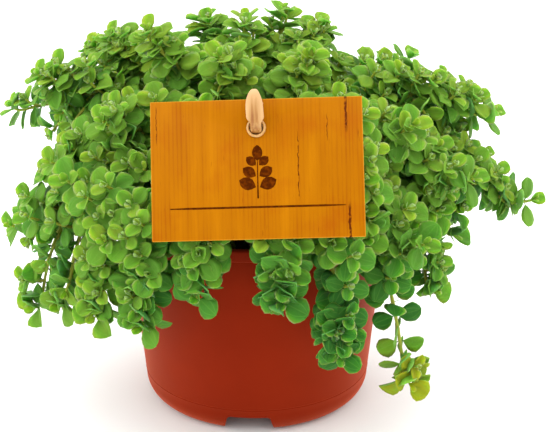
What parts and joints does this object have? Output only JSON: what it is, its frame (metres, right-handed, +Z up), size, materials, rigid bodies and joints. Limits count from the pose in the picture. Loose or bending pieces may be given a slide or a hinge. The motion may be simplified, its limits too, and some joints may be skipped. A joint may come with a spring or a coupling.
{
  "type": "potted creeping plant",
  "caption": "Bushy creeping houseplant with small round leaves on trailing stems, in a terracotta-coloured nursery pot, with a wooden tag hooked on a flat stake.",
  "frame": {"origin": "centre of the pot's foot, on the ground plane", "axes": "+Z up; the tag's face looks along -Y, +X is to the right when facing the tag"},
  "size_m": [0.2768, 0.2082, 0.1962],
  "materials": {
    "pot_plastic": "satin",
    "potting_soil": "rough",
    "tag_wood": "satin stain",
    "eyelet_plastic": "gloss",
    "stake_reed": "satin",
    "foliage": "waxy"
  },
  "bodies": {
    "root": {"pot": "pot_plastic", "soil": "potting_soil", "tag_board": "tag_wood", "tag_eyelet": "eyelet_plastic", "tag_stake": "stake_reed", "crown_spray_39": "foliage", "crown_spray_40": "foliage", "crown_spray_41": "foliage", "crown_spray_42": "foliage", "crown_spray_43": "foliage", "crown_spray_44": "foliage", "crown_spray_45": "foliage", "crown_spray_46": "foliage", "shoulder_spray_17": "foliage", "shoulder_spray_18": "foliage", "shoulder_spray_19": "foliage", "shoulder_spray_20": "foliage", "shoulder_spray_21": "foliage", "shoulder_spray_22": "foliage", "shoulder_spray_23": "foliage", "shoulder_spray_24": "foliage", "shoulder_spray_25": "foliage", "shoulder_spray_26": "foliage", "shoulder_spray_27": "foliage", "shoulder_spray_28": "foliage", "trailing_spray_01": "foliage", "trailing_spray_02": "foliage", "trailing_spray_03": "foliage", "trailing_spray_04": "foliage", "trailing_spray_05": "foliage", "trailing_spray_06": "foliage", "trailing_spray_07": "foliage", "trailing_spray_08": "foliage", "trailing_spray_09": "foliage", "trailing_spray_10": "foliage", "trailing_spray_11": "foliage", "trailing_spray_12": "foliage", "trailing_spray_13": "foliage", "trailing_spray_14": "foliage", "trailing_spray_15": "foliage", "trailing_spray_16": "foliage", "upper_spray_29": "foliage", "upper_spray_30": "foliage", "upper_spray_31": "foliage", "upper_spray_32": "foliage", "upper_spray_33": "foliage", "upper_spray_34": "foliage", "upper_spray_35": "foliage", "upper_spray_36": "foliage", "upper_spray_37": "foliage", "upper_spray_38": "foliage"}
  },
  "joints": []
}
